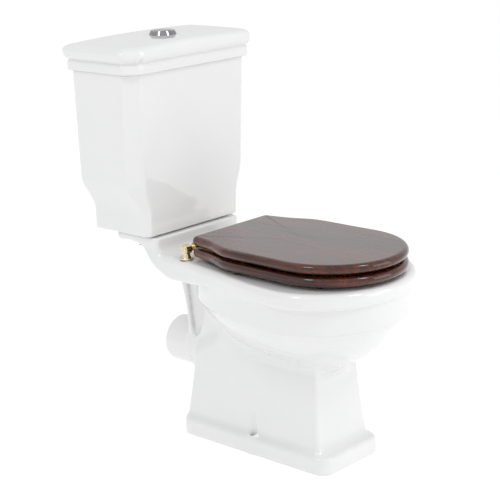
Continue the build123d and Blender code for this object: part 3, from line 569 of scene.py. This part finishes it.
def net_surface(field, low, high, step):
    """Surface nets of a field symmetric in x: one point in each cell that the surface crosses."""
    sides = [np.arange(int((high[k] - low[k]) / step) + 2) * step + low[k] for k in (1, 2)]
    right = np.arange(int(high[0] / step) + 2) * step
    half = field(right[:, None, None], sides[0][None, :, None], sides[1][None, None, :])
    half = np.broadcast_to(half, (len(right), len(sides[0]), len(sides[1]))).astype(np.float32)
    value = np.concatenate([half[:0:-1], half])
    axes = [np.concatenate([-right[:0:-1], right]), *sides]
    inside = value < 0
    corners = [(i, j, k) for i in (0, 1) for j in (0, 1) for k in (0, 1)]
    nx, ny, nz = (n - 1 for n in value.shape)

    def corner(table, c):
        return table[c[0]:c[0] + nx, c[1]:c[1] + ny, c[2]:c[2] + nz]

    total = sum(corner(inside, c).astype(np.int8) for c in corners)
    cells = np.argwhere((total > 0) & (total < 8))
    at_corner = {c: value[tuple((cells + c).T)] for c in corners}
    place_sum = np.zeros((len(cells), 3))
    crossings = np.zeros(len(cells))
    for a in corners:
        for axis in range(3):
            if a[axis] == 1:
                continue
            b = tuple(1 if k == axis else a[k] for k in range(3))
            va, vb = at_corner[a], at_corner[b]
            cut = (va < 0) != (vb < 0)
            t = np.where(cut, va / np.where(cut, va - vb, 1), 0)
            spot = np.array(a, float)[None] + t[:, None] * (np.array(b) - np.array(a))[None]
            place_sum += spot * cut[:, None]
            crossings += cut
    spots = cells + place_sum / crossings[:, None]
    points = np.stack([axes[k][0] + spots[:, k] * step for k in range(3)], 1)
    number = np.full((nx, ny, nz), -1, np.int32)
    number[tuple(cells.T)] = np.arange(len(cells))
    faces = []
    for axis in range(3):
        u, v = (axis + 1) % 3, (axis + 2) % 3
        along_axis = [slice(None)] * 3
        along_axis[axis] = slice(0, -1)
        next_axis = [slice(None)] * 3
        next_axis[axis] = slice(1, None)
        first, second = inside[tuple(along_axis)], inside[tuple(next_axis)]
        edges = np.argwhere(first != second)
        edges = edges[(edges[:, u] > 0) & (edges[:, v] > 0) & (edges[:, u] < value.shape[u] - 1)
                      & (edges[:, v] < value.shape[v] - 1)]
        outward = first[tuple(edges.T)]
        shift_u, shift_v = np.eye(3, dtype=int)[u], np.eye(3, dtype=int)[v]
        ring = [edges - shift_u - shift_v, edges - shift_v, edges, edges - shift_u]
        quads = np.stack([number[tuple(q.T)] for q in ring], 1)
        quads[~outward] = quads[~outward][:, ::-1]
        faces.append(quads)
    return points, np.concatenate(faces)


def field_gradient(field, points, reach=0.4):
    x, y, z = points.T
    parts = []
    for k in range(3):
        offset = np.zeros(3)
        offset[k] = reach
        ahead = field(x + offset[0], y + offset[1], z + offset[2])
        behind = field(x - offset[0], y - offset[1], z - offset[2])
        parts.append((ahead - behind) / (2 * reach))
    return np.stack(parts, 1)


def settle(field, points, step, rounds=3):
    """Moves points onto the surface along the gradient, and returns them with its normals."""
    for _ in range(rounds):
        slope = field_gradient(field, points)
        size = (slope ** 2).sum(1)
        move = field(*points.T) / np.maximum(size, 0.05)
        shift = slope * move[:, None]
        length = np.linalg.norm(shift, axis=1)
        points = points - shift * np.minimum(1, 0.6 * step / np.maximum(length, 1e-9))[:, None]
    slope = field_gradient(field, points)
    return points, slope / np.maximum(np.linalg.norm(slope, axis=1), 1e-9)[:, None]


def pan():
    step = 2.5
    low = (-RIM_HALF - 8, FRONT_Y - 8, -8)
    high = (RIM_HALF + 8, SHELF_BACK_Y + 8, SHELF_Z + 8)
    points, faces = net_surface(pan_field, low, high, step)
    points, normals = settle(pan_field, points, step)
    nodes = ("pan_rim", "pan_bowl", "pan_foot", "pan_outlet")
    return add_mesh("pan_china", points, faces.tolist(), GLAZE, BODY, nodes, normals)


# ---- cistern ------------------------------------------------------------------------------
def corner_arc(a, corner, b, radius, steps=8):
    """Fillet points where two straight sides meet, with a support point on each side of it."""
    a, corner, b = (np.array(p, float) for p in (a, corner, b))
    u, v = a - corner, b - corner
    u, v = u / np.linalg.norm(u), v / np.linalg.norm(v)
    half = np.arccos(np.clip(u @ v, -1, 1)) / 2
    back_off = radius / np.tan(half)
    centre = corner + (u + v) / np.linalg.norm(u + v) * radius / np.sin(half)
    start, end = corner + u * back_off, corner + v * back_off
    first = np.arctan2(*(start - centre)[::-1])
    last = np.arctan2(*(end - centre)[::-1])
    turn = (last - first + pi) % tau - pi
    angles = first + turn * np.linspace(0, 1, steps + 1)
    arc_points = centre + radius * np.stack([np.cos(angles), np.sin(angles)], 1)
    return [start + u * 2, *arc_points, end + v * 2]


def canted_ring(z, half, front, back, cant, radii):
    """A rectangle with cut front corners; radii are for the back, side and front edges of the cut."""
    back_r, side_r, front_r = radii
    right = [(0, front), (half - cant, front), (half, front + cant), (half, back), (0, back)]
    points = []
    for k, radius in ((1, front_r), (2, side_r), (3, back_r)):
        points += corner_arc(right[k - 1], right[k], right[k + 1], radius)
    points = np.array(points)
    corners = np.concatenate([points, points[::-1] * [-1, 1]])
    per_corner = len(points) // 3
    cuts = [2, 8, 16, 8, 2, 16]
    plan = []
    for k in range(len(corners)):
        a, b = corners[k], corners[(k + 1) % len(corners)]
        count = cuts[k // per_corner] if k % per_corner == per_corner - 1 else 1
        plan += [a + (b - a) * m / count for m in range(count)]
    plan = np.array(plan)
    return np.column_stack([plan, np.full(len(plan), float(z))])


def cant_inset(cant, inset):
    """Cut of a corner after all five sides move in by the same distance."""
    return cant - inset * (2 - sqrt(2))


def tank_shape(z):
    """Half width, front and corner cut of the cistern: an ogee between two straights."""
    low, high = OGEE_LOW_Z, OGEE_HIGH_Z
    t = min(1.0, max(0.0, (z - low) / (high - low)))
    step = t ** 3 * (t * (6 * t - 15) + 10)
    upper = max(0.0, (z - high) / (TANK_TOP_Z - high))
    half = TANK_BASE_HALF + 34.5 * step + 5.0 * upper
    front = TANK_FRONT_Y + 14.0 * (TANK_TOP_Z - z) / (TANK_TOP_Z - TANK_Z)
    return half, front, 10.0 + 18.0 * step


def tank_ring(z, inset=0.0, radii=(11, 5.0, 13)):
    half, front, cant = tank_shape(z)
    radii = tuple(max(1.2, r - inset) for r in radii)
    cut = cant_inset(cant, inset)
    front_r = min(radii[2], 0.9 * cut)
    corner_radii = (radii[0], radii[1], front_r)
    return canted_ring(z, half - inset, front + inset, TANK_BACK_Y - inset, cut, corner_radii)


def cistern_tank():
    wall, floor_z, edge = TANK_WALL, TANK_Z + 10.0, 3.0
    turn = np.radians([90, 60, 30])
    outside = [tank_ring(TANK_Z + edge - edge * sin(a), edge - edge * cos(a)) for a in turn]
    fine_low, fine_high = OGEE_LOW_Z - 6, OGEE_HIGH_Z + 6
    heights = [*np.arange(TANK_Z + edge, fine_low - 2, 8), *np.arange(fine_low, fine_high, 2)]
    heights += [*np.arange(fine_high + 2, TANK_TOP_Z - 2, 16)]
    outside += [tank_ring(z) for z in heights]
    outside += [tank_ring(TANK_TOP_Z - 1.5), tank_ring(TANK_TOP_Z, 1.5)]
    inside = [tank_ring(TANK_TOP_Z, wall - 1), tank_ring(TANK_TOP_Z - 1, wall)]
    inside += [tank_ring(z, wall) for z in heights[::-1] if z > floor_z + 4]
    inside += [tank_ring(floor_z + 3, wall), tank_ring(floor_z, wall + 3)]
    points, faces = loft(outside + inside)
    return add_mesh("cistern_china", points, faces, GLAZE, BODY, ["cistern_tank"])


def lid_profile():
    """Inset and height from the bottom edge, round the groove and the big roll, to the crown's edge."""
    bottom = TANK_TOP_Z + 0.5
    profile = [(10.0, bottom), *arc((10.0, bottom + 3.0), 3.0, 270, 180, 4)[1:]]
    profile += [(7.0, bottom + 15.0), (7.1, bottom + 17.5), (8.2, bottom + 19.6), (9.8, bottom + 21.2)]
    profile += [(9.6, bottom + 22.6), (7.0, bottom + 24.6), (4.2, bottom + 27.4), (2.0, bottom + 31.2)]
    profile += [(0.7, bottom + 35.2), (0.1, bottom + 38.8)]
    turn = np.linspace(0, pi / 2, 13)
    return profile + [(20 - 20 * cos(t), ROLL_MID_Z + (EDGE_Z - ROLL_MID_Z) * sin(t)) for t in turn]


def crown_height(plan):
    """Height of the crowned top over plan points."""
    return LID_TOP_Z - (plan[:, 0] ** 2 + (plan[:, 1] - BUTTON_Y) ** 2) / (2 * CROWN_R)


def lid_ring(inset, z, lift=0.0):
    """Outline of the lid; lift carries it from its own height to that of the crown."""
    radii = tuple(max(1.5, v - 0.4 * inset) for v in (14, 20, 20))
    cut = cant_inset(LID_CANT, inset)
    plan = canted_ring(z, LID_HALF - inset, LID_FRONT_Y + inset, LID_BACK_Y - inset, cut, radii)
    plan[:, 2] += lift * (crown_height(plan) - EDGE_Z)
    return plan


def cistern_lid():
    """Loose lid: plain band, groove, big roll and a crowned top; hollow underneath."""
    rise = EDGE_Z - ROLL_MID_Z
    outer = [lid_ring(inset, z, smooth_step((z - ROLL_MID_Z) / rise)) for inset, z in lid_profile()]
    centre = np.array([0.0, BUTTON_Y, 0.0])
    crown = []
    for share in (0.97, 0.93, 0.88, 0.78, 0.66, 0.54, 0.42, 0.30, 0.18, 0.08):
        plan = centre + (outer[-1] - centre) * share
        plan[:, 2] = crown_height(plan)
        crown.append(plan)
    top = TANK_TOP_Z + 0.5
    lip_low, hollow = LID_LIP_Z, 834.0
    lip = [(12, hollow), (12, lip_low + 1), (11, lip_low), (1, lip_low), (0, lip_low + 1), (0, top)]
    under = [lid_ring(LID_LIP_IN + inset, z) for inset, z in lip]
    points, faces = loft(under + outer + crown)
    nodes = ["cistern_lid"]
    return add_mesh("cistern_lid_china", points, faces, GLAZE, "cistern_lid", nodes)


# ---- seat ---------------------------------------------------------------------------------
def seat_outline():
    """Plan of the boards: round nose, S shouldered sides, square back with round corners."""
    middle, back_half, corner = SEAT_MID_Y, SEAT_BACK_HALF, 14.0
    t = np.linspace(0, pi / 2, 40)
    nose = np.stack([SEAT_HALF * np.sin(t), middle + (SEAT_FRONT_Y - middle) * np.cos(t)], 1)
    y = np.linspace(middle, SEAT_BACK_Y - corner, 56)[1:]
    side_y = [middle, -160, -125, -90, -62, -35, -10, 12, 32, 50, SEAT_BACK_Y - corner]
    side_half = [SEAT_HALF - less for less in (0, 0.6, 0.9, 0.6, 1.4)]
    side_half += [147.5, 138.5, 129.5, 124, 120.3, back_half]
    side = np.stack([hermite(y, side_y, side_half), y], 1)
    t = np.linspace(0, pi / 2, 9)[1:]
    inner_x, inner_y = back_half - corner, SEAT_BACK_Y - corner
    turn = np.stack([inner_x + corner * np.cos(t), inner_y + corner * np.sin(t)], 1)
    back = np.stack([np.linspace(back_half - corner, 8, 12)[1:], np.full(11, SEAT_BACK_Y)], 1)
    right = np.concatenate([nose[1:], side, turn, back])
    return np.concatenate([np.array([[0.0, SEAT_FRONT_Y]]), right, right[::-1] * [-1, 1]])


def inward(outline):
    """Unit normals that point into a closed anticlockwise outline."""
    tangent = np.roll(outline, -1, 0) - np.roll(outline, 1, 0)
    tangent /= np.linalg.norm(tangent, axis=1)[:, None]
    return np.stack([-tangent[:, 1], tangent[:, 0]], 1)


def board_edge(low, high):
    """Inset and height round a bullnose, from the underside to the top."""
    radius = (high - low) / 2
    nose = arc((radius, low + radius), radius, 270, 90, 20)
    return [(radius + 5, low), (radius + 2, low), *nose, (radius + 1.2, high), (radius + 5, high)]


def seat_cover():
    outline = seat_outline()
    normal = inward(outline)
    rings = [np.column_stack([outline + normal * inset, np.full(len(outline), z)])
             for inset, z in board_edge(COVER_Z, COVER_TOP_Z)]
    middle = np.array([0, -130.0])
    fills = {0: [], -1: []}
    for end in fills:
        for share in (0.9, 0.75, 0.55, 0.35, 0.15):
            plan = rings[end].copy()
            plan[:, :2] = middle + (plan[:, :2] - middle) * share
            fills[end].append(plan)
    points, faces = loft(fills[0][::-1] + rings + fills[-1])
    return add_mesh("seat_cover_board", points, faces, WOOD, "seat_lid", ["seat_lid"])


def seat_ring():
    outline = seat_outline()
    normal = inward(outline)
    rings = [np.column_stack([outline + normal * inset, np.full(len(outline), z)])
             for inset, z in board_edge(RING_Z, RING_TOP_Z)]
    hole_y, half, long, soft = -158.0, 102.0, 138.0, 8.0
    angle = np.arctan2((outline[:, 1] - hole_y) / long, outline[:, 0] / half)
    hole = np.stack([half * np.cos(angle), hole_y + long * np.sin(angle)], 1)
    outwards = np.stack([np.cos(angle) * long, np.sin(angle) * half], 1)
    outwards /= np.linalg.norm(outwards, axis=1)[:, None]

    def hole_ring(inset, z):
        return np.column_stack([hole + outwards * inset, np.full(len(hole), z)])

    inner = [hole_ring(soft + 3, RING_TOP_Z)]
    inner += [hole_ring(soft - r, z) for r, z in arc((0, RING_TOP_Z - soft), soft, 90, 0, 8)]
    inner += [hole_ring(soft - r, z) for r, z in arc((0, RING_Z + soft), soft, 0, -90, 8)]
    inner += [hole_ring(soft + 3, RING_Z)]
    points, faces = loft(rings + inner, closed=True)
    return add_mesh("seat_ring_board", points, faces, WOOD, "seat_ring", ["seat_ring"])


# ---- floor, light and camera --------------------------------------------------------------
def studio_floor():
    size, count = 20.0, 13
    steps = np.linspace(-size, size, count) / MM
    x, y = np.meshgrid(steps, steps, indexing="ij")
    points = np.stack([x.ravel(), y.ravel(), np.full(x.size, -0.4)], 1) * MM
    faces = [
        (i * count + j, (i + 1) * count + j, (i + 1) * count + j + 1, i * count + j + 1)
        for i in range(count - 1) for j in range(count - 1)
    ]
    mesh = bpy.data.meshes.new("studio_floor")
    mesh.from_pydata(points.tolist(), [], faces)
    floor = bpy.data.objects.new("studio_floor", mesh)
    bpy.context.scene.collection.objects.link(floor)
    mesh.materials.append(speckled(
        "floor_paper", (0.40, 0.40, 0.40), (0.42, 0.42, 0.42), 3.0, (0.7, 0.8), Emission_Strength=0.68,
        Emission_Color=(1, 1, 1, 1), Specular_IOR_Level=0.0,
    ))


def area_light(name, azimuth, elevation, distance, size, power, target=(0, 0, 0.42)):
    """A soft box that faces the object from a bearing; azimuth 0 is in front, positive to the right."""
    light = bpy.data.lights.new(name, "AREA")
    light.shape = "RECTANGLE"
    light.size, light.size_y = size
    light.energy = power
    lamp = bpy.data.objects.new(name, light)
    a, e = radians(azimuth), radians(elevation)
    back = Vector((sin(a) * cos(e), -cos(a) * cos(e), sin(e)))
    lamp.location = Vector(target) + back * distance
    lamp.rotation_euler = back.to_track_quat("Z", "Y").to_euler()
    bpy.context.scene.collection.objects.link(lamp)


def light_scene():
    world = bpy.data.worlds.new("studio_world")
    bpy.context.scene.world = world
    world.use_nodes = True
    background = world.node_tree.nodes["Background"]
    background.inputs["Color"].default_value = (1.0, 1.0, 1.0, 1.0)
    background.inputs["Strength"].default_value = 0.80
    area_light("key_left", -92, 52, 3.2, (0.5, 0.7), 9)
    area_light("key_right", 8, 50, 3.2, (0.5, 0.7), 12)
    area_light("fill_front", 24, 12, 3.0, (1.6, 1.6), 14)
    area_light("fill_side", -100, 14, 3.0, (1.6, 1.6), 2)
    scene = bpy.context.scene
    scene.view_settings.view_transform = "Standard"
    scene.view_settings.look = "None"
    scene.view_settings.exposure = 0.0


def camera():
    """Standing height, left of the front, looking slightly down, with a long lens."""
    azimuth, elevation, roll = radians(-47.3), radians(15.414), radians(-1.94)
    back = Vector((sin(azimuth) * cos(elevation), -cos(azimuth) * cos(elevation), sin(elevation)))
    right = Vector((cos(azimuth), sin(azimuth), 0))
    up = back.cross(right)
    across = cos(roll) * right + sin(roll) * up
    rise = -sin(roll) * right + cos(roll) * up
    data = bpy.data.cameras.new("camera")
    data.lens, data.sensor_width = 108.29, 36.0
    data.clip_end = 50
    view = bpy.data.objects.new("camera", data)
    turn = Matrix((across, rise, back)).transposed().to_4x4()
    view.matrix_world = Matrix.Translation((-2.2318, -2.0395, 1.2492)) @ turn
    bpy.context.scene.collection.objects.link(view)
    bpy.context.scene.camera = view


dress_frame()
pan()
cistern_tank()
cistern_lid()
seat_cover()
seat_ring()
studio_floor()
light_scene()
camera()

bpy.context.view_layer.update()
